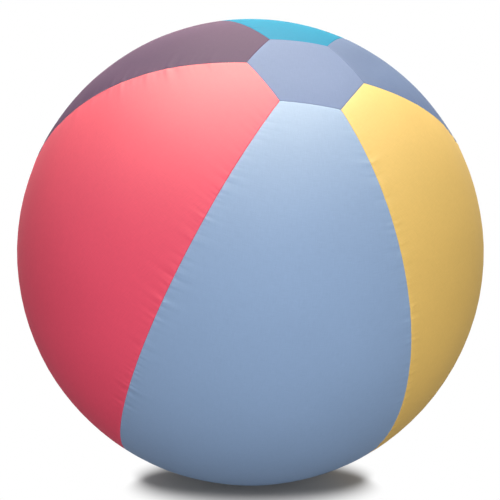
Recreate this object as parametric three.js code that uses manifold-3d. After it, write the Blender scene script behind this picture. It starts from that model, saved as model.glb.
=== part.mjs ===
// Balloon ball: coloured cloth gores and two caps sewn into a round cover, which a balloon
// fills and a zip in one seam closes.
// Millimetres, +Z up. The origin is the middle of the flat on which the ball rests.
import * as THREE from "three";
import { mergeVertices } from "three/addons/utils/BufferGeometryUtils.js";
import Module from "manifold-3d";

// Cover
const BALL_DIAMETER = 500;
const CAP_ACROSS_CORNERS = 104;
const CLOTH = 0.4;
const SEAM_ALLOWANCE = 8;
const HEM_STEP = 1;
const REST_FLAT_DIAMETER = 50;
const THREAD_DIAMETER = 0.4;
const CLEARANCE = 0.3;

// The gores follow each other round the axis of the caps. For a gore's first seam, in degrees of
// turn, seamShift is how far it starts from its even share, and seamBow how far it bows midway.
const GORES = [
  { name: "light_blue_gore", colour: 0x82a3d1, seamShift: -0.9, seamBow: 0 },
  { name: "yellow_gore", colour: 0xe8ca78, seamShift: -1.1, seamBow: 0 },
  { name: "slate_blue_gore", colour: 0x6d7cab, seamShift: -3.4, seamBow: 12 },
  { name: "turquoise_gore", colour: 0x2f9fc2, seamShift: 2.1, seamBow: 0 },
  { name: "purple_gore", colour: 0x604c61, seamShift: 4.4, seamBow: -9 },
  { name: "red_gore", colour: 0xe0566b, seamShift: -2.6, seamBow: -5 },
];
const FIRST_SEAM_DEG = -120;
const CAP_COLOUR = 0x8093c3;

// How the ball lies: the axis of the caps leans, faces a heading and is spun about itself
const LEAN_DEG = 46.9;
const HEADING_DEG = 15.6;
const SPIN_DEG = -8.2;

// Balloon, with its neck in a dimple under the middle of the zip
const BALLOON_WALL = 0.4;
const NECK_DIAMETER = 15;
const NECK_WALL = 1;
const NECK_LENGTH = 16;
const LIP_ROLL = 2;
const LIP_HEIGHT = 3;
const LIP_EDGE = 0.9;
const DIMPLE_MARGIN = 62;
const PLUG_OVERHANG = 0.5;
const PLUG_HEAD_HEIGHT = 3;
const PLUG_STEM_LENGTH = 13;
const PLUG_RIBS = 2;
const PLUG_RIB_HEIGHT = 0.2;
const PLUG_EDGE = 0.8;
const PLUG_TO_ZIP = 1.5;

// Zip, in the seam where this gore begins
const ZIP_GORE = "turquoise_gore";
const ZIP_FROM_CAP = 50;
const ZIP_LENGTH = 130;
const SLOT_MARGIN = 0.6;
const SLOT_TAPER = 6;
const TAPE_WIDTH = 12;
const TAPE_THICKNESS = 0.5;
const TAPE_TAIL = 8;
const CHAIN_WIDTH = 4.6;
const TOOTH_PITCH = 3.2;
const TOOTH_HEIGHT = 2.4;
const TOOTH_SPINE = 0.8;
const TOOTH_FOOT = 2.2;
const TOOTH_HEAD = 1.3;
const STOP_LENGTH = 2.5;
const STOP_FROM_END = 2;
const SLIDER_LENGTH = 9;
const SLIDER_CORNER = 1.4;
const SLIDER_PLATE = 1;
const SLIDER_FLANGE = 0.8;
const SLIDER_WEB = 0.4;
const SLIDER_WEB_LENGTH = 3;
const BRIDGE_INSET = 1.3;
const BRIDGE_WIDTH = 1.4;
const BRIDGE_THICKNESS = 0.9;
const PULL_LENGTH = 24;
const PULL_WIDTH = 5.4;
const PULL_THICKNESS = 1;
const PULL_BAR = 1;
const PULL_HOLE = 2.6;
const WELD = 0.2;

// Fineness of the facets
const ROW_STEP = 38;
const GORE_COLUMNS = 7;
const CAP_EDGE_STEPS = 3;
const CAP_RINGS = 3;
const FLAT_STEPS = 2;
const TAPE_STEP = 12;
const BALLOON_STEPS = 11;
const DIMPLE_STEPS = 6;
const BALLOON_SIDES = 18;
const PLUG_SIDES = 12;
const CORNER_STEPS = 3;

// Worked-out sizes
const radius = BALL_DIAMETER / 2;
const goreShare = (2 * Math.PI) / GORES.length;
const zipSeam = GORES.findIndex((gore) => gore.name === ZIP_GORE);
const capCorner = Math.asin(CAP_ACROSS_CORNERS / 2 / radius);
const seamLength = radius * (Math.PI - 2 * capCorner);
const seamEdge = CLEARANCE / 2;
const hemWidth = SEAM_ALLOWANCE + HEM_STEP;
const foldSetback = THREAD_DIAMETER / 2 + CLEARANCE - seamEdge;
const threadDepth = 2 * CLOTH;
const restHeight = Math.sqrt(radius ** 2 - (REST_FLAT_DIAMETER / 2) ** 2);

const rowCount = Math.round((seamLength - 2 * hemWidth) / ROW_STEP);
const rowStep = (seamLength - 2 * hemWidth) / rowCount;
const widestGore = Math.max(...GORES.map((gore, k) => goreTurn(k, seamLength / 2)));
const columnStep = (widestGore * radius) / GORE_COLUMNS;
const rowSag = facetSag(rowStep);
const coverDepth = Math.max(
  CLOTH + facetSag(Math.hypot(rowStep, columnStep)),
  threadDepth + THREAD_DIAMETER / 2 + rowSag,
);
const balloonRadius = Math.min(radius - coverDepth, restHeight - CLOTH) - CLEARANCE;

// Heights in the zip, measured outwards from the ball's surface
const tapeTop = -(2 * CLOTH + rowSag + CLEARANCE);
const tapeBottom = tapeTop - TAPE_THICKNESS;
const toothTop = (tapeTop + tapeBottom + TOOTH_HEIGHT) / 2;
const toothBottom = toothTop - TOOTH_HEIGHT;
const plateTop = toothTop + CLEARANCE + SLIDER_PLATE;
const plateBottom = toothBottom - CLEARANCE - SLIDER_PLATE;
const plugTop = plateBottom - PLUG_TO_ZIP;
const toothTip = SLIDER_WEB / 2 + CLEARANCE;
const sliderWidth = CHAIN_WIDTH + 2 * (CLEARANCE + SLIDER_FLANGE);
const slotEdge = sliderWidth / 2 + SLOT_MARGIN;
const bridgeLength = SLIDER_LENGTH - 2 * BRIDGE_INSET;
const pullReach = Math.hypot(PULL_BAR, PULL_THICKNESS) / 2 + CLEARANCE;

// Places along the zip, measured from the lower end of its slot
const lowerStop = STOP_FROM_END;
const upperStop = ZIP_LENGTH - STOP_FROM_END - STOP_LENGTH;
const chainStart = lowerStop + STOP_LENGTH + CLEARANCE;
const chainEnd = upperStop - CLEARANCE;
const sliderRest = chainEnd - SLIDER_LENGTH / 2;

const stance = new THREE.Quaternion()
  .multiply(turnAbout(0, 0, 1, HEADING_DEG))
  .multiply(turnAbout(1, 0, 0, LEAN_DEG))
  .multiply(turnAbout(0, 0, 1, SPIN_DEG));
const down = new THREE.Vector3(0, 0, -1).applyQuaternion(stance.clone().invert());

const wasm = await Module();
wasm.setup();

function turnAbout(x, y, z, degrees) {
  const angle = THREE.MathUtils.degToRad(degrees);
  return new THREE.Quaternion().setFromAxisAngle(new THREE.Vector3(x, y, z), angle);
}

// How far a flat facet over an arc lies inside the round it stands for
function facetSag(arc) {
  return radius * (1 - Math.cos(arc / (2 * radius)));
}

// The turn round the cap axis at which a gore begins, at a row along its seam
function seamTurn(k, row = 0) {
  const { seamShift, seamBow } = GORES[k % GORES.length];
  const bow = seamBow * (1 - (1 - (2 * row) / seamLength) ** 4);
  return THREE.MathUtils.degToRad(FIRST_SEAM_DEG + seamShift + bow) + k * goreShare;
}

// The turn that a gore takes up at a row
function goreTurn(k, row) {
  return seamTurn(k + 1, row) - seamTurn(k, row);
}

// The tilt from the cap axis of the cap's straight edge, at a share of the way across one gore
function capEdge(k, across) {
  const half = goreTurn(k, 0) / 2;
  return Math.atan((Math.tan(capCorner) * Math.cos(half)) / Math.cos((2 * across - 1) * half));
}

function onBall(turn, tilt, depth) {
  const ray = new THREE.Vector3(Math.cos(turn), Math.sin(turn), 0).multiplyScalar(Math.sin(tilt));
  return ray.setZ(Math.cos(tilt)).multiplyScalar(radius - depth);
}

// A point of the cover, pressed flat where it would go below the floor
function settled(point, depth) {
  const below = point.dot(down) - (restHeight - depth);
  return below > 0 ? point.addScaledVector(down, -below) : point;
}

// Sorted values, with those that all but coincide taken once
function merged(values) {
  const sorted = values.toSorted((a, b) => a - b);
  return sorted.filter((value, i) => i === 0 || value - sorted[i - 1] > 1e-3);
}

// A closed skin over a run of like rings of points. An open run is closed across its two ends.
function loft(rings, looped = false) {
  const count = rings[0].length;
  const at = (ring, i) => (ring % rings.length) * count + (i % count);
  const index = [];
  const quad = (a, b, c, d) => index.push(a, b, c, a, c, d);
  const runs = looped ? rings.length : rings.length - 1;
  for (let ring = 0; ring < runs; ring++) {
    for (let i = 0; i < count; i++) {
      quad(at(ring, i), at(ring, i + 1), at(ring + 1, i + 1), at(ring + 1, i));
    }
  }
  for (let i = 0; !looped && i < count / 2 - 1; i++) {
    const last = rings.length - 1;
    quad(at(0, i), at(0, count - 1 - i), at(0, count - 2 - i), at(0, i + 1));
    quad(at(last, i), at(last, i + 1), at(last, count - 2 - i), at(last, count - 1 - i));
  }
  const geometry = new THREE.BufferGeometry().setFromPoints(rings.flat());
  geometry.setIndex(index);
  return outward(geometry);
}

// The same faces, turned to point out if they point in
function outward(geometry) {
  const points = geometry.attributes.position;
  const faces = geometry.index.array;
  const [a, b, c] = [0, 1, 2].map(() => new THREE.Vector3());
  let volume = 0;
  for (let i = 0; i < faces.length; i += 3) {
    a.fromBufferAttribute(points, faces[i]);
    b.fromBufferAttribute(points, faces[i + 1]);
    c.fromBufferAttribute(points, faces[i + 2]);
    volume += a.dot(b.cross(c));
  }
  for (let i = 0; volume < 0 && i < faces.length; i += 3) {
    [faces[i], faces[i + 1]] = [faces[i + 1], faces[i]];
  }
  geometry.computeVertexNormals();
  return geometry;
}

function solidOf(geometry) {
  const bare = geometry.clone();
  bare.deleteAttribute("normal");
  bare.deleteAttribute("uv");
  const whole = mergeVertices(bare);
  return new wasm.Manifold(new wasm.Mesh({
    numProp: 3,
    vertProperties: whole.attributes.position.array,
    triVerts: new Uint32Array(whole.index.array),
  }));
}

function joined(geometries) {
  const solid = geometries.map(solidOf).reduce((whole, piece) => whole.add(piece));
  const mesh = solid.getMesh();
  const geometry = new THREE.BufferGeometry();
  geometry.setAttribute("position", new THREE.BufferAttribute(mesh.vertProperties, 3));
  geometry.setIndex(new THREE.BufferAttribute(mesh.triVerts, 1));
  geometry.computeVertexNormals();
  return geometry;
}

// Rows of a gore, as distances along its seams

function seamRows() {
  const rows = [seamEdge, SEAM_ALLOWANCE];
  for (let i = 0; i <= rowCount; i++) {
    rows.push(hemWidth + i * rowStep);
  }
  return [...rows, seamLength - SEAM_ALLOWANCE, seamLength - seamEdge];
}

function zipRow(along) {
  return seamLength - ZIP_FROM_CAP - along;
}

function zipRows() {
  return [-SLOT_TAPER, 0, ZIP_LENGTH, ZIP_LENGTH + SLOT_TAPER].map(zipRow);
}

// Every seam has a row at the zip's ends, so that two neighbours bend at the same places
function rowsAtSeam() {
  return merged([...seamRows(), ...zipRows()]);
}

// Where a gore's edge lies off the seam line: half the seam's gap, or half the zip's slot
function edgeOffset(k, row) {
  const [low, slotLow, slotHigh, high] = zipRows();
  const outside = Math.max((row - slotLow) / (low - slotLow), (slotHigh - row) / (slotHigh - high), 0);
  const share = k % GORES.length === zipSeam ? 1 - Math.min(outside, 1) : 0;
  return THREE.MathUtils.lerp(seamEdge, slotEdge, share);
}

function tiltAtSeam(row) {
  return capCorner + row / radius;
}

function goreWidth(k, row) {
  return goreTurn(k, row) * radius * Math.sin(tiltAtSeam(row));
}

// The middle of the resting flat within one gore: its row, its share of the way across, or nothing
function restSpot(k) {
  const tilt = Math.acos(down.z);
  const nearRow = (tilt - capCorner) * radius;
  const past = Math.atan2(down.y, down.x) - seamTurn(k, nearRow);
  const across = THREE.MathUtils.euclideanModulo(past, 2 * Math.PI) / goreTurn(k, nearRow);
  const top = capEdge(k, across);
  const row = ((tilt - top) / (Math.PI - 2 * top)) * seamLength;
  return across < 1 ? { row, across } : null;
}

function flatMarks() {
  const step = REST_FLAT_DIAMETER / 2 / FLAT_STEPS;
  return Array.from({ length: 2 * FLAT_STEPS + 1 }, (unused, i) => (i - FLAT_STEPS) * step);
}

function goreRows(k) {
  const spot = restSpot(k);
  const flat = spot ? flatMarks().map((mark) => spot.row + mark) : [];
  return merged([...rowsAtSeam(), ...flat]);
}

// Shares of the way between a gore's two hems
function goreShares(k) {
  const shares = Array.from({ length: GORE_COLUMNS + 1 }, (unused, i) => i / GORE_COLUMNS);
  const spot = restSpot(k);
  if (spot) {
    const width = goreWidth(k, spot.row);
    const from = edgeOffset(k, spot.row) + hemWidth;
    const to = width - edgeOffset(k + 1, spot.row) - hemWidth;
    shares.push(...flatMarks().map((mark) => (spot.across * width + mark - from) / (to - from)));
  }
  return merged(shares);
}

// Places across a gore at one row, as shares of its whole width
function goreColumns(k, row, fold) {
  const width = goreWidth(k, row);
  const left = edgeOffset(k, row);
  const right = width - edgeOffset(k + 1, row);
  const from = left + hemWidth;
  const to = right - hemWidth;
  const middle = goreShares(k).map((share) => THREE.MathUtils.lerp(from, to, share));
  const places = [left + fold, left + SEAM_ALLOWANCE, ...middle, right - SEAM_ALLOWANCE, right - fold];
  return places.map((place) => place / width);
}

function gorePoint(k, across, row, depth) {
  const turn = seamTurn(k, row) + across * goreTurn(k, row);
  const top = capEdge(k, across);
  const tilt = top + (row / seamLength) * (Math.PI - 2 * top);
  return settled(onBall(turn, tilt, depth), depth);
}

// A gore with its seam allowances turned in, so that its hems are two cloths thick
function goreGeometry(k) {
  const rows = goreRows(k);
  const lastRow = rows.length - 1;
  return loft(rows.map((row, i) => {
    const fold = i === 0 ? foldSetback : i === lastRow ? -foldSetback : 0;
    const outer = goreColumns(k, row, 0);
    const inner = goreColumns(k, row, foldSetback);
    const lastColumn = inner.length - 1;
    const isHem = (j) => Math.min(i, lastRow - i, j, lastColumn - j) <= 1;
    const outside = outer.map((across) => gorePoint(k, across, row, 0));
    const inside = inner.map((across, j) => gorePoint(k, across, row + fold, isHem(j) ? 2 * CLOTH : CLOTH));
    return [...outside, ...inside.reverse()];
  }));
}

// One ring round a cap, a set distance in from its sewn edge or at a share of the way out to its hem
function capRing(inset, share, depth, flip) {
  const ring = [];
  GORES.forEach((gore, k) => {
    for (let i = 0; i < CAP_EDGE_STEPS; i++) {
      const across = i / CAP_EDGE_STEPS;
      const turn = seamTurn(k) + across * goreTurn(k, 0);
      const tilt = (capEdge(k, across) - inset / radius) * share;
      ring.push(settled(onBall(turn, flip ? Math.PI - tilt : tilt, depth), depth));
    }
  });
  return ring;
}

function capGeometry(flip) {
  const shares = Array.from({ length: CAP_RINGS }, (unused, i) => (i + 0.5) / CAP_RINGS);
  const outside = shares.map((share) => capRing(hemWidth, share, 0, flip));
  outside.push(capRing(SEAM_ALLOWANCE, 1, 0, flip), capRing(seamEdge, 1, 0, flip));
  const inside = shares.map((share) => capRing(hemWidth, share, CLOTH, flip));
  inside.push(capRing(hemWidth, 1, CLOTH, flip));
  inside.push(capRing(SEAM_ALLOWANCE, 1, 2 * CLOTH, flip));
  inside.push(capRing(seamEdge + foldSetback, 1, 2 * CLOTH, flip));
  return loft([...outside, ...inside.reverse()]);
}

// Sewing thread through the middles of a run of points under the seam
function threadGeometry(points, looped) {
  const rings = points.map((point, i) => {
    const before = points[i - 1] ?? (looped ? points.at(-1) : point);
    const after = points[i + 1] ?? (looped ? points[0] : point);
    const out = point.clone().normalize();
    const side = after.clone().sub(before).normalize().cross(out);
    return [out, side, out.clone().negate(), side.clone().negate()]
      .map((ray) => point.clone().addScaledVector(ray, THREAD_DIAMETER / 2));
  });
  return loft(rings, looped);
}

function seamThread(k, fromRow, toRow) {
  const rows = rowsAtSeam().filter((row) => row > fromRow - 1e-3 && row < toRow + 1e-3);
  return threadGeometry(rows.map((row) => onBall(seamTurn(k, row), tiltAtSeam(row), threadDepth)), false);
}

// The zip's own directions at a place along it: across to the next gore, along and outwards
function zipAxes(along) {
  const turn = seamTurn(zipSeam);
  const out = onBall(turn, tiltAtSeam(zipRow(along)), 0).normalize();
  const across = new THREE.Vector3(-Math.sin(turn), Math.cos(turn), 0);
  return { out, across, along: out.clone().cross(across) };
}

function zipPoint(along, across, height) {
  const axes = zipAxes(along);
  const lean = across / radius;
  const ray = axes.out.multiplyScalar(Math.cos(lean)).addScaledVector(axes.across, Math.sin(lean));
  return ray.multiplyScalar(radius + height);
}

// A strip along the zip. Each station is a place along it and the two edges of the strip there.
function zipStrip(stations, bottom, top) {
  return loft(stations.map(([along, from, to]) => [
    zipPoint(along, from, bottom),
    zipPoint(along, to, bottom),
    zipPoint(along, to, top),
    zipPoint(along, from, top),
  ]));
}

function tapeGeometry(side) {
  const length = ZIP_LENGTH + 2 * TAPE_TAIL;
  const steps = Math.round(length / TAPE_STEP);
  const inner = side * (CHAIN_WIDTH / 2 + CLEARANCE);
  const stations = [];
  for (let i = 0; i <= steps; i++) {
    stations.push([(i / steps) * length - TAPE_TAIL, inner, inner + side * TAPE_WIDTH]);
  }
  return zipStrip(stations, tapeBottom, tapeTop);
}

// A row of moulded teeth on one spine. The two rows stand half a pitch apart.
function teethGeometry(side) {
  const outer = (side * CHAIN_WIDTH) / 2;
  const root = outer - side * TOOTH_SPINE;
  const tip = side * toothTip;
  const count = Math.floor((chainEnd - chainStart) / TOOTH_PITCH - 0.5);
  const first = chainStart + (side > 0 ? TOOTH_PITCH : TOOTH_PITCH / 2);
  const stations = [[chainStart, outer, root]];
  for (let i = 0; i < count; i++) {
    const middle = first + i * TOOTH_PITCH;
    stations.push([middle - TOOTH_FOOT / 2, outer, root]);
    stations.push([middle - TOOTH_HEAD / 2, outer, tip]);
    stations.push([middle + TOOTH_HEAD / 2, outer, tip]);
    stations.push([middle + TOOTH_FOOT / 2, outer, root]);
  }
  stations.push([chainEnd, outer, root]);
  return zipStrip(stations, toothBottom, toothTop);
}

function stopGeometry(start, from, to) {
  return zipStrip([[start, from, to], [start + STOP_LENGTH, from, to]], toothBottom, toothTop);
}

function roundedShape(width, bottom, top, corner) {
  const side = width / 2 - corner;
  const shape = new THREE.Shape();
  shape.absarc(side, bottom + corner, corner, -Math.PI / 2, 0);
  shape.absarc(side, top - corner, corner, 0, Math.PI / 2);
  shape.absarc(-side, top - corner, corner, Math.PI / 2, Math.PI);
  shape.absarc(-side, bottom + corner, corner, Math.PI, 1.5 * Math.PI);
  return shape;
}

function plate(shape, bottom, thickness) {
  const options = { depth: thickness, bevelEnabled: false, curveSegments: CORNER_STEPS };
  return new THREE.ExtrudeGeometry(shape, options).translate(0, 0, bottom);
}

function block(x, y, width, length, bottom, top) {
  return new THREE.BoxGeometry(width, length, top - bottom).translate(x, y, (bottom + top) / 2);
}

// The arch on the slider that carries the pull
function bridgeGeometry() {
  const opening = 2 * pullReach;
  const outline = roundedShape(bridgeLength, -WELD, opening + BRIDGE_THICKNESS, BRIDGE_THICKNESS);
  const hollow = roundedShape(bridgeLength - 2 * BRIDGE_THICKNESS, 0, opening, BRIDGE_THICKNESS / 2);
  outline.holes.push(hollow);
  const stand = new THREE.Matrix4().makeBasis(
    new THREE.Vector3(0, 1, 0),
    new THREE.Vector3(0, 0, 1),
    new THREE.Vector3(1, 0, 0),
  );
  return plate(outline, -BRIDGE_WIDTH / 2, BRIDGE_WIDTH).applyMatrix4(stand).translate(0, 0, plateTop);
}

// Two plates with flanges that hug the chain, joined by a web between the two rows of teeth
function sliderGeometry() {
  const half = SLIDER_LENGTH / 2;
  const outline = roundedShape(sliderWidth, -half, half, SLIDER_CORNER);
  const upper = plateTop - SLIDER_PLATE;
  const lower = plateBottom + SLIDER_PLATE;
  const flangeX = (sliderWidth - SLIDER_FLANGE) / 2;
  const flangeLength = SLIDER_LENGTH - 2 * SLIDER_CORNER;
  const plates = [upper, plateBottom].map((bottom) => plate(outline, bottom, SLIDER_PLATE));
  const pieces = [...plates, bridgeGeometry()];
  for (const x of [-flangeX, flangeX]) {
    pieces.push(block(x, 0, SLIDER_FLANGE, flangeLength, tapeTop + CLEARANCE, upper + WELD));
    pieces.push(block(x, 0, SLIDER_FLANGE, flangeLength, lower - WELD, tapeBottom - CLEARANCE));
  }
  const webY = half - SLIDER_WEB_LENGTH / 2 - WELD;
  pieces.push(block(0, webY, SLIDER_WEB, SLIDER_WEB_LENGTH, lower - WELD, upper + WELD));
  return joined(pieces);
}

// The pull lies back over the closed chain. Its bar, at the origin, turns inside the bridge.
function pullGeometry() {
  const top = PULL_BAR / 2;
  const bottom = top - PULL_LENGTH;
  const outline = roundedShape(PULL_WIDTH, bottom, top, PULL_BAR / 2);
  const bridgeReach = Math.hypot(bridgeLength / 2, pullReach + BRIDGE_THICKNESS);
  const windowWidth = BRIDGE_WIDTH + 2 * CLEARANCE;
  outline.holes.push(roundedShape(windowWidth, -bridgeReach - CLEARANCE, -PULL_BAR / 2, CLEARANCE));
  const eye = new THREE.Path();
  eye.absarc(0, bottom + PULL_WIDTH / 2, PULL_HOLE / 2, 0, 2 * Math.PI);
  outline.holes.push(eye);
  return plate(outline, -PULL_THICKNESS / 2, PULL_THICKNESS);
}

// A group at a place along the zip, with x across it, y along it and z outwards
function zipStand(along) {
  const axes = zipAxes(along);
  const stand = new THREE.Group();
  stand.quaternion.setFromRotationMatrix(new THREE.Matrix4().makeBasis(axes.across, axes.along, axes.out));
  stand.position.copy(axes.out).multiplyScalar(radius);
  return stand;
}

function spun(profile, sides) {
  const points = profile.map(([x, y]) => new THREE.Vector2(x, y));
  return outward(mergeVertices(new THREE.LatheGeometry(points, sides).rotateX(Math.PI / 2)));
}

// The balloon's wall, measured along the axis of its neck from the centre of the ball
function balloonGeometry() {
  const lipTop = radius + plugTop - PLUG_HEAD_HEIGHT - CLEARANCE;
  const neckBase = lipTop - NECK_LENGTH;
  const neck = NECK_DIAMETER / 2;
  const bore = neck - NECK_WALL;
  const lip = neck + LIP_ROLL;
  const reach = (ZIP_LENGTH / 2 + TAPE_TAIL + DIMPLE_MARGIN) / radius;
  const nearest = Math.asin(lip / neckBase);
  const dimple = (angle) => (angle < reach ? (1 + Math.cos((Math.PI * angle) / reach)) / 2 : 0);
  const wallPoint = (angle, depth) => {
    const reached = balloonRadius - (balloonRadius - neckBase) * dimple(angle) - depth;
    return [reached * Math.sin(angle), reached * Math.cos(angle)];
  };
  const angles = [];
  for (let i = 1; i < BALLOON_STEPS; i++) {
    angles.push(THREE.MathUtils.lerp(Math.PI, reach, i / BALLOON_STEPS));
  }
  for (let i = 0; i <= DIMPLE_STEPS; i++) {
    angles.push(THREE.MathUtils.lerp(reach, nearest, i / DIMPLE_STEPS));
  }
  const outside = angles.map((angle) => wallPoint(angle, 0));
  const inside = angles.map((angle) => wallPoint(angle, BALLOON_WALL)).reverse();
  const neckProfile = [
    [neck, neckBase + NECK_WALL],
    [neck, lipTop - LIP_HEIGHT],
    [lip, lipTop - LIP_HEIGHT + LIP_EDGE],
    [lip, lipTop - LIP_EDGE],
    [neck, lipTop],
    [bore, lipTop],
    [bore, neckBase - BALLOON_WALL],
  ];
  const start = [0, -balloonRadius];
  const end = [0, BALLOON_WALL - balloonRadius];
  return spun([start, ...outside, ...neckProfile, ...inside, end], BALLOON_SIDES);
}

function plugGeometry() {
  const top = radius + plugTop;
  const seat = top - PLUG_HEAD_HEIGHT;
  const tip = seat - PLUG_STEM_LENGTH;
  const head = NECK_DIAMETER / 2 + LIP_ROLL + PLUG_OVERHANG;
  const stem = NECK_DIAMETER / 2 - NECK_WALL - CLEARANCE;
  const core = stem - PLUG_RIB_HEIGHT;
  const profile = [[0, tip], [core - PLUG_EDGE, tip], [core, tip + PLUG_EDGE]];
  for (let i = 1; i <= PLUG_RIBS; i++) {
    const rib = THREE.MathUtils.lerp(tip, seat, i / (PLUG_RIBS + 1));
    profile.push([core, rib - PLUG_EDGE], [stem, rib], [core, rib + PLUG_EDGE]);
  }
  profile.push([core, seat], [head, seat], [head, top - PLUG_EDGE], [head - PLUG_EDGE, top], [0, top]);
  return spun(profile, PLUG_SIDES);
}

function finish(color, roughness, metalness = 0) {
  return new THREE.MeshStandardMaterial({ color, roughness, metalness, flatShading: true });
}

const thread = finish(0xd8d8dc, 0.8);
const latex = finish(0xe9dfc6, 0.5);
const plugPlastic = finish(0xf2f2ee, 0.45);
const tapeCloth = finish(0x3c4250, 0.85);
const toothPlastic = finish(0x2d323c, 0.4);
const zipMetal = finish(0xb9bcc2, 0.3, 1);

const ball = new THREE.Group();
ball.quaternion.copy(stance);
ball.position.z = restHeight;

function add(name, geometry, material, parent = ball) {
  const mesh = new THREE.Mesh(geometry, material);
  mesh.name = name;
  parent.add(mesh);
  return mesh;
}

function colourName(k) {
  return GORES[k % GORES.length].name.replace("_gore", "");
}

GORES.forEach((gore, k) => add(gore.name, goreGeometry(k), finish(gore.colour, 0.6)));
for (const [name, flip] of [["top_cap", false], ["bottom_cap", true]]) {
  add(name, capGeometry(flip), finish(CAP_COLOUR, 0.6));
  add(`${name}_thread`, threadGeometry(capRing(0, 1, threadDepth, flip), true), thread);
}

GORES.forEach((gore, k) => {
  const name = `${colourName(k + GORES.length - 1)}_${colourName(k)}_seam_thread`;
  const [top, bottom] = [SEAM_ALLOWANCE, seamLength - SEAM_ALLOWANCE];
  if (k === zipSeam) {
    add(`${name}_upper`, seamThread(k, top, zipRow(ZIP_LENGTH + SLOT_TAPER)), thread);
    add(`${name}_lower`, seamThread(k, zipRow(-SLOT_TAPER), bottom), thread);
  } else {
    add(name, seamThread(k, top, bottom), thread);
  }
});

const zipMiddle = zipStand(ZIP_LENGTH / 2);
zipMiddle.position.set(0, 0, 0);
ball.add(zipMiddle);
add("balloon", balloonGeometry(), latex, zipMiddle);
add("balloon_plug", plugGeometry(), plugPlastic, zipMiddle);

for (const [side, k] of [[-1, zipSeam + GORES.length - 1], [1, zipSeam]]) {
  const name = colourName(k);
  const [from, to] = [side * toothTip, (side * CHAIN_WIDTH) / 2];
  add(`zip_tape_${name}_side`, tapeGeometry(side), tapeCloth);
  add(`zip_teeth_${name}_side`, teethGeometry(side), toothPlastic);
  add(`zip_top_stop_${name}_side`, stopGeometry(upperStop, from, to), zipMetal);
}
add("zip_bottom_stop", stopGeometry(lowerStop, -CHAIN_WIDTH / 2, CHAIN_WIDTH / 2), zipMetal);

const sliderStand = zipStand(sliderRest);
ball.add(sliderStand);
add("zip_slider", sliderGeometry(), zipMetal, sliderStand);
const pull = add("zip_pull", pullGeometry(), zipMetal, sliderStand);
pull.position.z = plateTop + pullReach;

const balloonBall = new THREE.Group();
balloonBall.add(ball);
export default balloonBall;
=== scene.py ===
# %% [markdown]
# # Dressing a balloon ball
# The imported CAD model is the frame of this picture: it says where every part lies and how the zip
# moves. This lesson lays cloth, thread, a zip and a balloon over that frame, one kind of piece at a
# time, and lights them. Every length is in metres and in the frame's own axes: +Z is up, and the
# viewer stands on the -Y side.

# %% Load the frame
import math

import bmesh
import bpy
from mathutils import Matrix, Vector, noise


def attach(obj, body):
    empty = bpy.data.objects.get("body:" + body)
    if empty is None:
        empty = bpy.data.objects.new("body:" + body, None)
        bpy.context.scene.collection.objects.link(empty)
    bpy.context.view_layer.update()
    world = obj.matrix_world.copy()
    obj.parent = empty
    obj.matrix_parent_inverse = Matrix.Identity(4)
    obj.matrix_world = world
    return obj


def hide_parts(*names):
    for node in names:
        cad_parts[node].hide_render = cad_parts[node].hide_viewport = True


MM = 0.001
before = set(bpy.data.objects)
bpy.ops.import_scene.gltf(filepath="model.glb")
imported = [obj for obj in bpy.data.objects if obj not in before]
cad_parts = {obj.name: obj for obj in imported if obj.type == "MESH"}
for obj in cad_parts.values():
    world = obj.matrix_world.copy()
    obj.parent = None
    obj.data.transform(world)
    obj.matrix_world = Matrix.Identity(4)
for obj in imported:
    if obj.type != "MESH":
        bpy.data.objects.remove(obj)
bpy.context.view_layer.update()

# %% [markdown]
# ## The round that everything lies on
# The cover is a ball 500 mm across that has settled on a flat 50 mm wide. Its two caps sit on one
# leaning axis, so a place on the cover is easiest to name by two angles: its turn round that axis
# and its tilt from it. The lean, the heading and the turns of the six seams are those of the CAD. A
# seam that was cut a little wide bows sideways between the caps, and three of the six do.

# %% Measures of the ball
RADIUS = 250 * MM
REST_FLAT = 50 * MM
FLOOR_EASE = 0.5 * MM
CAP_RADIUS = 52 * MM
CENTRE = Vector((0, 0, math.sqrt(RADIUS**2 - (REST_FLAT / 2) ** 2)))
STANCE = (
    Matrix.Rotation(math.radians(15.6), 3, "Z")
    @ Matrix.Rotation(math.radians(46.9), 3, "X")
    @ Matrix.Rotation(math.radians(-8.2), 3, "Z")
)
COLOURS = ["light_blue", "yellow", "slate_blue", "turquoise", "purple", "red"]
# The seam before each gore, and the first one again after a full turn
SEAM_TURNS = [math.radians(x) for x in (-120.9, -61.1, -3.4, 62.1, 124.4, 177.4, 239.1)]
SEAM_BOWS = [math.radians(x) for x in (0, 0, 12, 0, -9, -5, 0)]
CAP_CORNER = math.asin(CAP_RADIUS / RADIUS)
SEAM_LENGTH = RADIUS * (math.pi - 2 * CAP_CORNER)


def lerp(a, b, share):
    return a + (b - a) * share


def ray(turn, tilt):
    """The direction out of the ball, in the ball's own axes."""
    return Vector((math.cos(turn) * math.sin(tilt), math.sin(turn) * math.sin(tilt), math.cos(tilt)))


def on_ball(turn, tilt, height):
    """A place on the cover, this high above the round, pressed flat where it meets the floor."""
    point = CENTRE + STANCE @ ray(turn, tilt) * (RADIUS + height)
    point.z = (point.z + math.hypot(point.z, FLOOR_EASE)) / 2
    return point


def seam_turn(seam, row):
    """The turn of a seam at a row, which is a distance along it from the top cap."""
    return SEAM_TURNS[seam] + SEAM_BOWS[seam] * (1 - (1 - 2 * row / SEAM_LENGTH) ** 4)


def gore_turn(k, row, share):
    """The turn at a share of the way across gore k."""
    return lerp(seam_turn(k, row), seam_turn(k + 1, row), share)


def cap_edge(k, share):
    """The tilt of the cap's straight edge at a share of the way across gore k."""
    half = (SEAM_TURNS[k + 1] - SEAM_TURNS[k]) / 2
    return math.atan(math.tan(CAP_CORNER) * math.cos(half) / math.cos((2 * share - 1) * half))


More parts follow.
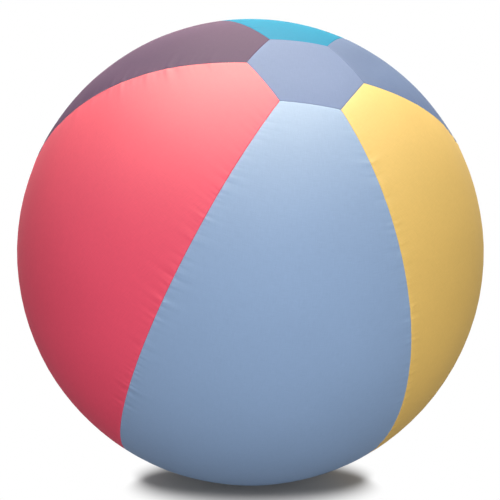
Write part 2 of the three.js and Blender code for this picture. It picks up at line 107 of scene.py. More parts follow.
print(f"seams {SEAM_LENGTH:.4f} m long, caps {math.degrees(CAP_CORNER):.2f} degrees to a corner")

# %% [markdown]
# ## Camera
# The picture was taken from just above the ball's middle and from quite near, three radii from its
# centre: the seams foreshorten towards the outline as they do only from that close. The lens then
# follows from the ball's width in the frame. The camera comes early, so that every piece can be
# judged through it.

# %% Camera
CAMERA_REACH = 3 * RADIUS
CAMERA_RISE = math.radians(4)


def show(name, data):
    """A new object in the scene."""
    made = bpy.data.objects.new(name, data)
    bpy.context.scene.collection.objects.link(made)
    return made


def face_ball(thing):
    """Turns a camera or a lamp to the ball's centre."""
    thing.rotation_euler = (CENTRE - thing.location).to_track_quat("-Z", "Y").to_euler()


camera_data = bpy.data.cameras.new("camera")
camera_data.sensor_width = 36
camera_data.lens = 47.53
camera_data.shift_x = -0.0008
camera_data.shift_y = 0.0046
camera = show("camera", camera_data)
camera.location = CENTRE + CAMERA_REACH * Vector((0, -math.cos(CAMERA_RISE), math.sin(CAMERA_RISE)))
face_ball(camera)
bpy.context.scene.camera = camera
print("camera at", [round(x, 4) for x in camera.location])

# %% [markdown]
# ## How a finish is wired
# A material is a small net of nodes. These helpers add a node, fill its sockets and draw its links
# in one call, so that each finish below reads as a recipe. A value that is the same all over the
# surface is written on the shader itself.

# %% Helpers for finishes


def connect(tree, socket, value):
    """Gives a socket a value, or links another node's output to it."""
    if isinstance(value, bpy.types.NodeSocket):
        tree.links.new(value, socket)
    else:
        socket.default_value = value


def fill(tree, node, **sockets):
    for name, value in sockets.items():
        connect(tree, node.inputs[name.replace("_", " ")], value)


def add_node(tree, kind, settings=None, **sockets):
    """A new node with these settings and filled sockets."""
    made = tree.nodes.new(kind)
    for name, value in (settings or {}).items():
        setattr(made, name, value)
    fill(tree, made, **sockets)
    return made


def reckon(tree, operation, a, b):
    """The output of a Math node with two inputs."""
    made = add_node(tree, "ShaderNodeMath", {"operation": operation})
    for socket, value in zip(made.inputs, (a, b)):
        connect(tree, socket, value)
    return made.outputs[0]


def mottle(tree, place, stretch, detail=2.0):
    """Cloudy noise from 0 to 1. Stretch is how many clouds go into a metre along each axis."""
    scaled = add_node(tree, "ShaderNodeMapping", Vector=place, Scale=stretch).outputs[0]
    return add_node(tree, "ShaderNodeTexNoise", Vector=scaled, Scale=1.0, Detail=detail).outputs[0]


def spread(tree, value, low, high):
    """A value from 0.25 to 0.75, as noise gives it, spread over low to high."""
    sockets = {"From_Min": 0.25, "From_Max": 0.75, "To_Min": low, "To_Max": high}
    return add_node(tree, "ShaderNodeMapRange", Value=value, **sockets).outputs[0]


def toned(tree, colour, tone):
    """A colour made darker or lighter by a tone around 1."""
    return add_node(tree, "ShaderNodeHueSaturation", Value=tone, Color=(*colour, 1)).outputs[0]


def bumped(tree, height, strength, depth):
    """The bent normals of a surface whose height goes up and down by this depth."""
    return add_node(tree, "ShaderNodeBump", Strength=strength, Distance=depth, Height=height).outputs[0]


def object_place(tree):
    return add_node(tree, "ShaderNodeTexCoord").outputs["Object"]


def flat_place(tree):
    """The place on the flat cut of a cloth, from the map that its piece carries."""
    return add_node(tree, "ShaderNodeUVMap", {"uv_map": "cut"}).outputs[0]


def bare_finish(name):
    """A material with only its shader: the material, its node tree and the shader."""
    material = bpy.data.materials.new(name)
    material.use_nodes = True
    shader = material.node_tree.nodes["Principled BSDF"]
    return material, material.node_tree, shader


print("helpers for finishes are ready")

# %% [markdown]
# ## Cloth
# The cover is thin plain-woven cloth with a faint satin face. A regular weave could be drawn with
# wave textures, but threads half a millimetre apart shimmer when they are seen from afar. Long
# streaks of noise along both directions of the flat cut read as uneven yarn from near and quietly
# blur from afar. They lie on the piece's own flat map, so they run straight along each gore. The
# gloss is broad and weak, and the three bright cloths shine more than the dark ones. Along a seam
# the colour is a touch paler: a painted highlight, where the rolled hem catches the light.

# %% Cloth finish
# How much paler the colour is painted along a seam: a painted highlight on the rolled hem
SEAM_HIGHLIGHT_TONE = 0.06


def cloth_finish(name, colour, shine):
    material, tree, shader = bare_finish(name)
    flat = flat_place(tree)
    warp, weft = mottle(tree, flat, (1500, 120, 1)), mottle(tree, flat, (120, 1500, 1))
    yarn = reckon(tree, "MULTIPLY", reckon(tree, "ADD", warp, weft), 0.5)
    dye = mottle(tree, object_place(tree), (11, 11, 11), 4.0)
    seam_highlight = add_node(tree, "ShaderNodeAttribute", {"attribute_name": "seam_highlight"}).outputs["Fac"]
    tone = reckon(tree, "MULTIPLY", spread(tree, yarn, 0.95, 1.05), spread(tree, dye, 0.975, 1.025))
    # Painted highlight: the colour is made paler along each seam
    tone = reckon(tree, "ADD", tone, reckon(tree, "MULTIPLY", seam_highlight, SEAM_HIGHLIGHT_TONE))
    fill(tree, shader, Base_Color=toned(tree, colour, tone), Roughness=spread(tree, yarn, 0.7, 0.62))
    fill(tree, shader, Normal=bumped(tree, yarn, 0.3, 0.12 * MM), Specular_IOR_Level=shine)
    return material


# Each cloth's colour, and how much it shines
CLOTH_LOOKS = {
    "light_blue": ((0.257, 0.372, 0.57), 0.065),
    "yellow": ((0.785, 0.512, 0.142), 0.07),
    "slate_blue": ((0.138, 0.194, 0.342), 0.02),
    "turquoise": ((0.022, 0.286, 0.46), 0.01),
    "purple": ((0.14, 0.085, 0.149), 0.009),
    "red": ((0.82, 0.082, 0.148), 0.056),
    "cap": ((0.232, 0.297, 0.468), 0.013),
}
cloths = {name: cloth_finish(f"{name}_cloth", *look) for name, look in CLOTH_LOOKS.items()}
print("cloth finishes:", ", ".join(cloths))

# %% [markdown]
# ## How the cloth lies near a seam
# Two gores are sewn face to face, and their edges are turned in. Seen from outside, each cloth rolls
# over a small round and goes down beside its neighbour, and the stitches draw it into small gathers
# that die out within a couple of centimetres. The gathers could be simulated, but folds this small
# need a mesh of a million points. Noise that runs along the seam gives the same gathers exactly
# where they belong: small ones close to the seam and larger ones further out. The stitches pin the
# cloth at the sewn line itself, so that the line stays clean.

# %% Hems and gathers
# Each pair is a distance in from the sewn line and the drop of the cloth there, in millimetres
HEM = [
    (0.05, 0.62), (0.05, 0.36), (0.12, 0.2), (0.27, 0.1), (0.52, 0.035), (0.9, 0.008),
    (1.5, 0), (2.1, 0), (2.6, 0), (3.0, 0), (3.4, 0), (4.2, 0), (5.4, 0), (7, 0),
    (9.2, 0), (12, 0), (15, 0), (18.5, 0),
]
HEM_WIDTH = HEM[-1][0] * MM
# The widths of gathers and how far they reach, in millimetres
SMALL_GATHER, SMALL_REACH = 2.6, 4.5
LARGE_GATHER, LARGE_REACH = 6.2, 9
PINNED_REACH = 1.1
CALM_STRETCH = 55
SEAM_DIP, DIP_REACH = 0.2, 3.5
# How far from a seam the painted highlight reaches
SEAM_HIGHLIGHT_REACH = 1.6 * MM
UNEVEN, UNEVEN_BUMPS = 0.3 * MM, 5


def gather(line, place, away, strength, size=1):
    """Height of the gathers at a place along a sewn line, this far away from it.

    Each line reads its own row of the noise, so no two seams gather alike.
    """
    along, out = place / (size * MM), away / (size * MM)
    calm = 0.9 + 0.6 * noise.noise(Vector((along / CALM_STRETCH, 3.1 * line, 0)))
    small = noise.noise(Vector((along / SMALL_GATHER, 11.3 * line, 0.03 * out)))
    large = noise.noise(Vector((along / LARGE_GATHER, 7.7 * line, 0.012 * out)))
    height = 0.55 * small * math.exp(-out / SMALL_REACH) + 0.5 * large * math.exp(-out / LARGE_REACH)
    pinned = math.exp(-out / PINNED_REACH)
    return (strength * calm * height * (1 - pinned) - SEAM_DIP * math.exp(-out / DIP_REACH)) * MM


def unevenness(turn, tilt):
    """The slow unevenness of cloth drawn over a balloon."""
    return UNEVEN * noise.noise(ray(turn, tilt) * UNEVEN_BUMPS)


def seam_highlight_share(away):
    """1 at a sewn line, falling to 0 a few millimetres away: how much painted highlight lies there."""
    return math.exp(-away / SEAM_HIGHLIGHT_REACH)


print(f"hem of {len(HEM)} steps, {HEM_WIDTH / MM} mm wide")

# %% [markdown]
# ## The opening for the zip
# On the side turned away from the viewer, one seam stays open for 130 mm, and the zip is sewn
# behind its two folded edges. The gores on both sides of that seam draw back from it there, and a
# row of stitches holds each folded edge down on the zip's tape.

# %% Measures of the opening
ZIP_SEAM = 3
ZIP_FROM_CAP = 50 * MM
ZIP_LENGTH = 130 * MM
SLOT_TAPER = 6 * MM
SLOT_EDGE = 3.95 * MM
SLOT_DEEPER = 1.6
TOPSTITCH_IN = 3 * MM


def zip_row(along):
    """The row of a place along the zip or, the other way round, the place of a row."""
    return SEAM_LENGTH - ZIP_FROM_CAP - along


def opened(seam, row):
    """How far a seam is open at a row: 0 where it is sewn, 1 along the zip."""
    along = zip_row(row)
    beyond = max(-along, along - ZIP_LENGTH, 0)
    on_zip = seam % len(COLOURS) == ZIP_SEAM and beyond < SLOT_TAPER
    return 1 - (beyond / SLOT_TAPER) ** 2 if on_zip else 0


print("opening from row", round(zip_row(ZIP_LENGTH), 4), "to", round(zip_row(0), 4))

# %% [markdown]
# ## From a shape to a piece
# Every piece is shaped as loose mesh data first. It then becomes an object that rides on one of the
# frame's bodies, so that it moves as they do, and the CAD solids that it stands for are hidden. A
# cloth also gets its thickness from a Solidify modifier, which leaves the sheet easy to work on, and a
# flat map that keeps true distances, as the cut cloth does.

# %% Helpers for pieces


def to_mesh(name, bm):
    mesh = bpy.data.meshes.new(name)
    bm.to_mesh(mesh)
    bm.free()
    return mesh


def set_up(name, data, material, body, slot, *nodes):
    """An object that shows a mesh or a curve and rides on a body in place of these nodes."""
    data.materials.append(material)
    piece = show(name, data)
    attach(piece, body)
    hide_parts(*nodes)
    return piece


def add_piece(name, bm, material, body, slot, *nodes):
    """A smooth mesh piece from bm."""
    for face in bm.faces:
        face.smooth = True
    return set_up(name, to_mesh(name, bm), material, body, slot, *nodes)


def face_outwards(bm):
    """Turns the faces of a panel of the cover away from the ball's centre."""
    bm.normal_update()
    if sum((face.calc_center_median() - CENTRE).dot(face.normal) for face in bm.faces) < 0:
        bmesh.ops.reverse_faces(bm, faces=bm.faces)


def thicken(piece, thickness):
    """Gives a sheet its thickness, inwards from the side that shows."""
    wall = piece.modifiers.new("thickness", "SOLIDIFY")
    wall.thickness = thickness
    wall.offset = -1


def lay_flat_map(bm, flat):
    """Writes each vertex's place on the flat cut into the map that the cloth finish reads."""
    cut = bm.loops.layers.uv.new("cut")
    for face in bm.faces:
        for loop in face.loops:
            loop[cut].uv = flat[loop.vert]


print("helpers for pieces are ready")

# %% [markdown]
# ## The six gores
# A gore could be cut out of a sphere with four planes, but its mesh would then ignore the seams. A
# flat grid that is laid on the ball keeps its columns along the seams and its rows across them, so
# it can be fine where the hems roll in and coarse in the middle. Some seams were sewn with more
# slack than others, so each has its own strength and size of gathers, and all are calmer near the
# caps, where the cloth is drawn tight.

# %% Rows and columns of a gore
ROW_STEP = 1.1 * MM
MIDDLE_COLUMNS = 18
rows_between = round((SEAM_LENGTH - 2 * HEM_WIDTH) / ROW_STEP)
GORE_ROWS = [(d * MM, drop) for d, drop in HEM]
for i in range(1, rows_between):
    GORE_ROWS.append((lerp(HEM_WIDTH, SEAM_LENGTH - HEM_WIDTH, i / rows_between), 0))
GORE_ROWS += [(SEAM_LENGTH - d * MM, drop) for d, drop in reversed(HEM)]
GORE_COLUMNS = 2 * len(HEM) + MIDDLE_COLUMNS - 1


def gore_width(k, row):
    return (seam_turn(k + 1, row) - seam_turn(k, row)) * RADIUS * math.sin(CAP_CORNER + row / RADIUS)


def gore_column(k, row, i):
    """Column i of a gore at a row: its distance from the gore's first seam, and its hem's drop."""
    left = SLOT_EDGE * opened(k, row)
    right = gore_width(k, row) - SLOT_EDGE * opened(k + 1, row)
    if i < len(HEM):
        d, drop = HEM[i]
        return left + d * MM, drop * (1 + SLOT_DEEPER * opened(k, row))
    if i > GORE_COLUMNS - len(HEM):
        d, drop = HEM[GORE_COLUMNS - i]
        return right - d * MM, drop * (1 + SLOT_DEEPER * opened(k + 1, row))
    share = (i - len(HEM) + 1) / (MIDDLE_COLUMNS + 1)
    return lerp(left + HEM_WIDTH, right - HEM_WIDTH, share), 0


print(f"a gore has {len(GORE_ROWS)} rows of {GORE_COLUMNS + 1} points")

# %% Relief of a gore
# For the seam where each gore begins: how strongly the cloth gathers on the side of the gore before
# and on this gore's side, and how large those gathers are
GATHERS = {
    "light_blue": (1.6, 1.7, 0.9),
    "yellow": (2.0, 1.9, 1),
    "slate_blue": (2.2, 2.2, 1.2),
    "turquoise": (1.2, 1.2, 1),
    "purple": (1.5, 1.5, 1),
    "red": (3.0, 2.7, 1.5),
}
CAP_GATHER = 0.3
CALM_NEAR_CAP = 130 * MM
LEAST_SLACK = 0.3
# Beside the zip the stitches take away this share of the gathers, and press a hollow into the cloth
STITCHED_FLAT = 0.8
HOLLOW, HOLLOW_WIDTH = 0.12 * MM, 0.7 * MM
# The noise along the edges of the two caps starts at these lines
TOP_CAP_LINE, BOTTOM_CAP_LINE = 10, 20


def gore_relief(k, row, across, turn, tilt):
    """Height of a gore's gathers, and its hollows under the stitches beside the zip."""
    height = unevenness(turn, tilt)
    slack = min(LEAST_SLACK + min(row, SEAM_LENGTH - row) / CALM_NEAR_CAP, 1)
    for seam, away, side in ((k, across, 1), (k + 1, gore_width(k, row) - across, 0)):
        seam %= len(COLOURS)
        free = opened(seam, row)
        looks = GATHERS[COLOURS[seam]]
        height += gather(seam, row, away, slack * looks[side], looks[2]) * (1 - STITCHED_FLAT * free)
        pressed = (away - SLOT_EDGE - TOPSTITCH_IN) / HOLLOW_WIDTH
        height -= HOLLOW * free * math.exp(-(pressed**2))
    height += gather(TOP_CAP_LINE + k, across, row, CAP_GATHER)
    return height + gather(BOTTOM_CAP_LINE + k, across, SEAM_LENGTH - row, CAP_GATHER)


print("gathers:", ", ".join(f"{colour} {max(looks[:2])}" for colour, looks in GATHERS.items()))

# %% Gores
CLOTH = 0.4 * MM
ALLOWANCE = 8 * MM


def make_gore(k):
    bm = bmesh.new()
    last_row = len(GORE_ROWS) - 1
    bmesh.ops.create_grid(bm, x_segments=GORE_COLUMNS, y_segments=last_row, size=1)
    seam_highlight = bm.verts.layers.float.new("seam_highlight")
    flat = {}
    for vert in bm.verts:
        row, row_drop = GORE_ROWS[round((vert.co.y + 1) / 2 * last_row)]
        across, drop = gore_column(k, row, round((vert.co.x + 1) / 2 * GORE_COLUMNS))
        width = gore_width(k, row)
        turn = gore_turn(k, row, across / width)
        top = cap_edge(k, across / width)
        tilt = top + row / SEAM_LENGTH * (math.pi - 2 * top)
        height = gore_relief(k, row, across, turn, tilt) - max(drop, row_drop) * MM
        vert.co = on_ball(turn, tilt, height)
        # Painted highlight: strongest at the seams and at the caps' edges
        vert[seam_highlight] = seam_highlight_share(min(across, width - across, row, SEAM_LENGTH - row))
        flat[vert] = (across - width / 2, row)
    lay_flat_map(bm, flat)
    face_outwards(bm)
    return bm


for k, colour in enumerate(COLOURS):
    gore = add_piece(
        f"{colour}_panel", make_gore(k), cloths[colour], "ball", f"{colour}_cloth", f"{colour}_gore"
    )
    thicken(gore, CLOTH)

# %% [markdown]
# ## The two caps
# The points of the gores would be hard to sew into one spot, so a hexagon of cloth closes them at
# each end. Spinning one line of points round the axis gives a disc of rings and spokes. Each spoke
# is then drawn in to the hexagon's straight edge, so a ring near the hem runs parallel to the seam.

# %% Caps
SPOKES_PER_EDGE = 40
SPOKES = SPOKES_PER_EDGE * len(COLOURS)
CAP_INNER_RINGS = 22
CAP_RINGS = CAP_INNER_RINGS + len(HEM) - 1


def spin_round(points, steps):
    """A line of points in the xz plane, spun all the way round the z axis."""
    bm = bmesh.new()
    verts = [bm.verts.new((x, 0, z)) for x, z in points]
    lines = [bm.edges.new(pair) for pair in zip(verts, verts[1:])]
    turned = {"cent": (0, 0, 0), "axis": (0, 0, 1), "angle": 2 * math.pi, "steps": steps}
    bmesh.ops.spin(bm, geom=verts + lines, use_merge=True, **turned)
    return bm


def cap_ring(edge, ring):
    """A ring's tilt where the cap's edge has this tilt, its distance in from the edge and its drop."""
    if ring <= CAP_INNER_RINGS:
        tilt = (edge - HEM_WIDTH / RADIUS) * ring / CAP_INNER_RINGS
        return tilt, (edge - tilt) * RADIUS, 0
    d, drop = HEM[CAP_RINGS - ring]
    return edge - d * MM / RADIUS, d * MM, drop


def make_cap(first_line, upside_down):
    bm = spin_round([(ring / CAP_RINGS, 0) for ring in range(CAP_RINGS + 1)], SPOKES)
    bmesh.ops.remove_doubles(bm, verts=bm.verts, dist=1e-5)
    seam_highlight = bm.verts.layers.float.new("seam_highlight")
    flat = {}
    for vert in bm.verts:
        ring = round(vert.co.xy.length * CAP_RINGS)
        spoke = round(math.atan2(vert.co.y, vert.co.x) / (2 * math.pi) * SPOKES) % SPOKES
        k, place = divmod(spoke, SPOKES_PER_EDGE)
        turn = gore_turn(k, 0, place / SPOKES_PER_EDGE)
        tilt, inside, drop = cap_ring(cap_edge(k, place / SPOKES_PER_EDGE), ring)
        height = gather(first_line + k, turn * CAP_RADIUS, inside, CAP_GATHER) - drop * MM
        tilt_down = math.pi - tilt if upside_down else tilt
        vert.co = on_ball(turn, tilt_down, height + unevenness(turn, tilt_down))
        # Painted highlight: strongest at the cap's edge
        vert[seam_highlight] = seam_highlight_share(inside)
        flat[vert] = (tilt * RADIUS * math.cos(turn), tilt * RADIUS * math.sin(turn))
    lay_flat_map(bm, flat)
    bmesh.ops.recalc_face_normals(bm, faces=bm.faces)
    face_outwards(bm)
    return bm


cap_turns = [b - a for a, b in zip(SEAM_TURNS, SEAM_TURNS[1:])]
for node, line, upside_down in (("top_cap", TOP_CAP_LINE, False), ("bottom_cap", BOTTOM_CAP_LINE, True)):
    bm = make_cap(line, upside_down)
    cap = add_piece(f"{node}_panel", bm, cloths["cap"], "ball", "cap_cloth", node)
    thicken(cap, CLOTH)

# %% [markdown]
# ## Sewing thread in the seams
# A lockstitch holds each pair of gores just below the surface. Where the seam is pulled a little
# open, its rungs show as tiny bars across the gap. A curve with a round bevel is the natural tool
# for a thread: its points step from one cloth to the other and back.

# %% Thread finish


def thread_finish(name, colour):
    material, tree, shader = bare_finish(name)
    ply = mottle(tree, object_place(tree), (2600, 2600, 2600), 1.0)
    shade = toned(tree, colour, spread(tree, ply, 0.8, 1.1))
    fill(tree, shader, Base_Color=shade, Normal=bumped(tree, ply, 0.4, 0.1 * MM), Roughness=0.6)
    fill(tree, shader, Specular_IOR_Level=0.3, Sheen_Weight=0.2)
    return material


thread = thread_finish("sewing_thread", (0.62, 0.62, 0.65))
print("finish:", thread.name)

# %% Stitches
STITCH = 2.6 * MM
STITCH_REACH = 0.5 * MM
STITCH_DEPTH = 0.8 * MM


def rungs(count):
    """The side of the seam on which each point lies, and how many stitches along it is."""
    for i in range(count):
        side = 1 if i % 2 else -1
        yield side, i
        yield -side, i


def seam_stitches(seam, first, last):
    points = []
    count = round((last - first) / STITCH)
    for side, i in rungs(count + 1):
        row = lerp(first, last, i / count)
        tilt = CAP_CORNER + row / RADIUS
        turn = seam_turn(seam, row) + side * STITCH_REACH / (RADIUS * math.sin(tilt))
        points.append(on_ball(turn, tilt, -STITCH_DEPTH))
    return points


def cap_stitches(upside_down):
    points = []
    for k in range(len(COLOURS)):
        count = round(RADIUS * math.sin(CAP_CORNER) * cap_turns[k] / STITCH / 2) * 2
        for side, i in rungs(count):
            turn = gore_turn(k, 0, i / count)
            tilt = cap_edge(k, i / count) + side * STITCH_REACH / RADIUS
            points.append(on_ball(turn, math.pi - tilt if upside_down else tilt, -STITCH_DEPTH))
    return points


print(f"a stitch every {STITCH / MM} mm")

# %% Seam threads
THREAD = 0.4 * MM


def add_spline(curve, points, looped):
    """Adds straight lines from point to point to a curve."""
    spline = curve.splines.new("POLY")
    spline.points.add(len(points) - 1)
    for target, point in zip(spline.points, points):
        target.co = (*point, 1)
    spline.use_cyclic_u = looped


def add_thread(name, points, looped, node):
    """A thread through these points, in place of a CAD thread."""
    curve = bpy.data.curves.new(name, "CURVE")
    curve.dimensions = "3D"
    curve.bevel_depth = THREAD / 2
    curve.bevel_resolution = 1
    curve.use_fill_caps = True
    add_spline(curve, points, looped)
    set_up(name, curve, thread, "ball", "sewing_thread", node)
    print(f"{name}: {len(points) // 2} rungs")


for k, colour in enumerate(COLOURS):
    name = f"{COLOURS[k - 1]}_{colour}"
    runs = {"": (ALLOWANCE, SEAM_LENGTH - ALLOWANCE)}
    if k == ZIP_SEAM:
        runs = {
            "_upper": (ALLOWANCE, zip_row(ZIP_LENGTH + SLOT_TAPER)),
            "_lower": (zip_row(-SLOT_TAPER), SEAM_LENGTH - ALLOWANCE),
        }
    for part, (first, last) in runs.items():
        stitches = seam_stitches(k, first, last)
        add_thread(f"{name}_stitches{part}", stitches, False, f"{name}_seam_thread{part}")
for node, upside_down in (("top_cap", False), ("bottom_cap", True)):
    add_thread(f"{node}_stitches", cap_stitches(upside_down), True, f"{node}_thread")

# %% [markdown]
# ## The zip's own directions
# Everything in the zip lies along the open seam, so it is built from three numbers: how far along
# the zip, how far across it, and how high above the ball's round. A matrix made from those three
# directions puts a part that is modelled flat at the origin into its place.

# %% Places along the zip
SIDES = {"slate_blue": -1, "turquoise": 1}
CLEARANCE = 0.3 * MM
TAPE_TOP = -1.859 * MM
TAPE_THICKNESS = 0.5 * MM
CHAIN_MIDDLE = TAPE_TOP - TAPE_THICKNESS / 2
STOP_LENGTH = 2.5 * MM
STOP_FROM_END = 2 * MM
CHAIN_START = STOP_FROM_END + STOP_LENGTH + CLEARANCE
CHAIN_END = ZIP_LENGTH - CHAIN_START
SLIDER_LENGTH = 9 * MM
SLIDER_REST = CHAIN_END - SLIDER_LENGTH / 2


def zip_place(along, across, height):
    """The matrix that stands a part at a place of the zip: x across it, y along it, z outwards."""
    turn = SEAM_TURNS[ZIP_SEAM]
    out = ray(turn, CAP_CORNER + zip_row(along) / RADIUS)
    side = Vector((-math.sin(turn), math.cos(turn), 0))
    lengthways = out.cross(side)
    lean = Matrix.Rotation(across / RADIUS, 3, lengthways)
    axes = [STANCE @ (lean @ axis) for axis in (side, lengthways, out)]
    place = Matrix([(*axis, 0) for axis in axes] + [(0, 0, 0, 1)]).transposed()
    place.translation = CENTRE + axes[2] * (RADIUS + height)
    return place


print("slider rests at", [round(x, 4) for x in zip_place(SLIDER_REST, 0, 0).translation])

# %% [markdown]
# ## Zip tapes
# Each tape is a woven ribbon, about 12 mm wide and a little longer than the opening, with a cord
# along the edge that carries the teeth. A grid laid along the zip makes it, and the weave's chevrons
# are drawn on its flat map, where they follow the ribbon round the ball. Beyond the stops, where no
# teeth keep them apart, the two tapes close up.

# %% Tape finish
CHEVRON = 1.2 * MM
RIB_PITCH = 0.8 * MM


def tape_finish(name, colour):
    material, tree, shader = bare_finish(name)
    flat = flat_place(tree)
    split = add_node(tree, "ShaderNodeSeparateXYZ", Vector=flat)
    bent = reckon(tree, "PINGPONG", split.outputs["X"], CHEVRON)
    slope = reckon(tree, "ADD", split.outputs["Y"], bent)
    ribs = reckon(tree, "SINE", reckon(tree, "MULTIPLY", slope, 2 * math.pi / RIB_PITCH), 0)
    ribs = reckon(tree, "MULTIPLY_ADD", ribs, 0.25)
    fluff = mottle(tree, flat, (900, 900, 1))
    shade = toned(tree, colour, spread(tree, fluff, 0.8, 1.15))
    fill(tree, shader, Base_Color=shade, Normal=bumped(tree, ribs, 0.5, 0.15 * MM), Roughness=0.75)
    fill(tree, shader, Specular_IOR_Level=0.25, Sheen_Weight=0.25)
    return material


tape_cloth = tape_finish("zip_tape", (0.045, 0.052, 0.075))
print("finish:", tape_cloth.name)

# %% Tapes
TAPE_WIDTH, TAPE_TAIL = 12.7 * MM, 8 * MM
TAPE_ROWS = 146
# Across a tape: the distance from the zip's middle line and the rise of its face, in millimetres
TAPE_SHAPE = [(1.9, -0.2), (1.95, 0.1), (2.2, 0.22), (2.45, 0.1), (2.6, 0), (3.4, 0), (4.2, 0.05)]
TAPE_SHAPE += [(6, 0.3), (8, 0.38), (10, 0.38), (12.5, 0.36), (14.6, 0.34)]
# The tape's inner edge is free up to this distance, and closes up this many times wider
TAPE_FREE = 2.6
TAPE_CLOSES = 3.5
CLOSE_FROM, CLOSE_WITHIN = 3.2 * MM, 2 * MM


def tape_closing(along):
    """0 along the chain, and 1 beyond its stops, where the two tapes lie edge to edge."""
    beyond = max(CLOSE_FROM - along, along - ZIP_LENGTH + CLOSE_FROM, 0)
    return min(1, beyond / CLOSE_WITHIN)


def make_tape(side):
    bm = bmesh.new()
    columns = len(TAPE_SHAPE) - 1
    bmesh.ops.create_grid(bm, x_segments=columns, y_segments=TAPE_ROWS, size=1)
    flat = {}
    for vert in bm.verts:
        across, rise = TAPE_SHAPE[round((vert.co.x + 1) / 2 * columns)]
        along = lerp(-TAPE_TAIL, ZIP_LENGTH + TAPE_TAIL, (vert.co.y + 1) / 2)
        if across < TAPE_FREE:
            across = TAPE_FREE - (TAPE_FREE - across) * lerp(1, TAPE_CLOSES, tape_closing(along))
        vert.co = zip_place(along, side * across * MM, TAPE_TOP + rise * MM).translation
        flat[vert] = (across * MM, along + TAPE_TAIL)
    lay_flat_map(bm, flat)
    face_outwards(bm)
    return bm


for colour, side in SIDES.items():
    name = f"tape_{colour}_side"
    tape = add_piece(name, make_tape(side), tape_cloth, "ball", "zip_tape", f"zip_{name}")
    thicken(tape, TAPE_THICKNESS)

# %% [markdown]
# ## Zip teeth
# The teeth are moulded round the tape's cord: a broad foot, a narrow neck and a rounded head that
# sits between two heads of the other row. One tooth is a cube that is cut into slices, each slice
# drawn to its own width, with its edges bevelled. Copies of it are stood along the zip.

# %% Moulded finish


def moulded_finish(name, colour, rough):
    material, tree, shader = bare_finish(name)
    grain = mottle(tree, object_place(tree), (1400, 1400, 1400), 3.0)
    shade = toned(tree, colour, spread(tree, grain, 0.9, 1.1))
    gloss = spread(tree, grain, rough - 0.06, rough + 0.08)
    fill(tree, shader, Base_Color=shade, Normal=bumped(tree, grain, 0.2, 0.06 * MM), Roughness=gloss)
    return material


teeth_plastic = moulded_finish("zip_teeth", (0.028, 0.033, 0.045), 0.38)
print("finish:", teeth_plastic.name)

# %% Teeth
TOOTH_PITCH = 3.2 * MM
TOOTH_HEIGHT = 2.3 * MM
TOOTH_EDGE = 0.13 * MM
# A tooth's slices: the distance from the zip's middle line and half the width there, in millimetres
TOOTH_SLICES = [(0.28, 0.42), (0.48, 0.74), (0.9, 0.78), (1.2, 0.5), (1.55, 0.92), (2.3, 1.02)]


def round_edges(bm, edges, width, segments):
    bmesh.ops.bevel(
        bm, geom=edges, offset=width, affect="EDGES", segments=segments, profile=0.5, material=-1
    )


def make_tooth():
    """One tooth with its head towards the middle line, as a mesh to be copied."""
    bm = bmesh.new()
    bmesh.ops.create_cube(bm, size=1)
    lengthways = [e for e in bm.edges if abs(e.verts[0].co.x - e.verts[1].co.x) > 0.5]
    bmesh.ops.subdivide_edges(bm, edges=lengthways, cuts=len(TOOTH_SLICES) - 2, use_grid_fill=True)
    for vert in bm.verts:
        reach, half = TOOTH_SLICES[round((vert.co.x + 0.5) * (len(TOOTH_SLICES) - 1))]
        vert.co = (reach * MM, 2 * vert.co.y * half * MM, vert.co.z * TOOTH_HEIGHT)
    round_edges(bm, bm.edges[:], TOOTH_EDGE, 1)
    return to_mesh("tooth", bm)


def stamp(bm, mesh, place):
    """Adds a copy of a mesh to bm, in its place."""
    before = len(bm.verts)
    bm.from_mesh(mesh)
    bm.verts.ensure_lookup_table()
    bmesh.ops.transform(bm, matrix=place, verts=bm.verts[before:])


tooth = make_tooth()
tooth_count = math.floor((CHAIN_END - CHAIN_START) / TOOTH_PITCH - 0.5)
for colour, side in SIDES.items():
    bm = bmesh.new()
    first = CHAIN_START + TOOTH_PITCH * (1 if side > 0 else 0.5)
    turned = Matrix.Rotation(0 if side > 0 else math.pi, 4, "Z")
    for i in range(tooth_count):
        stamp(bm, tooth, zip_place(first + i * TOOTH_PITCH, 0, CHAIN_MIDDLE) @ turned)
    name = f"teeth_{colour}_side"
    row = add_piece(name, bm, teeth_plastic, "ball", "zip_teeth", f"zip_{name}")
    print(f"{row.name}: {tooth_count} teeth, {len(row.data.polygons)} faces")

# %% [markdown]
# ## Zip stops
# Small metal clips at the ends keep the slider on the chain: one on each tape at the top, and one
# across both at the bottom. Each is a bevelled block with a pinched waist, as a clip has where it is
# pressed round the tape. The metal is nickel with a brushed grain and a little tarnish.

# %% Metal finish


def metal_finish(name, colour):
    material, tree, shader = bare_finish(name)
    place = object_place(tree)
    brushed = mottle(tree, place, (300, 300, 4500), 3.0)
    tarnish = mottle(tree, place, (420, 420, 420), 4.0)
    shade = toned(tree, colour, spread(tree, tarnish, 0.75, 1.06))
    worn = reckon(tree, "ADD", spread(tree, brushed, 0.2, 0.32), spread(tree, tarnish, 0.1, 0.0))
    bump = bumped(tree, brushed, 0.12, 0.04 * MM)
    fill(tree, shader, Base_Color=shade, Roughness=worn, Normal=bump, Metallic=1.0)
    return material


nickel = metal_finish("zip_metal", (0.42, 0.43, 0.45))
print("finish:", nickel.name)

# %% Stops
STOP_INNER, STOP_OUTER = 0.5 * MM, 2.3 * MM
STOP_EDGE = 0.35 * MM
STOP_WAIST = 0.82


def plain_box(bm, centre, size):
    """Adds a box to bm, and gives its edges."""
    place = Matrix.Translation(centre) @ Matrix.Diagonal((*size, 1))
    made = bmesh.ops.create_cube(bm, size=1, matrix=place)
    return list(dict.fromkeys(e for v in made["verts"] for e in v.link_edges))


def block(bm, centre, size, edge, segments=2):
    """Adds a box with rounded edges to bm."""
    round_edges(bm, plain_box(bm, centre, size), edge, segments)


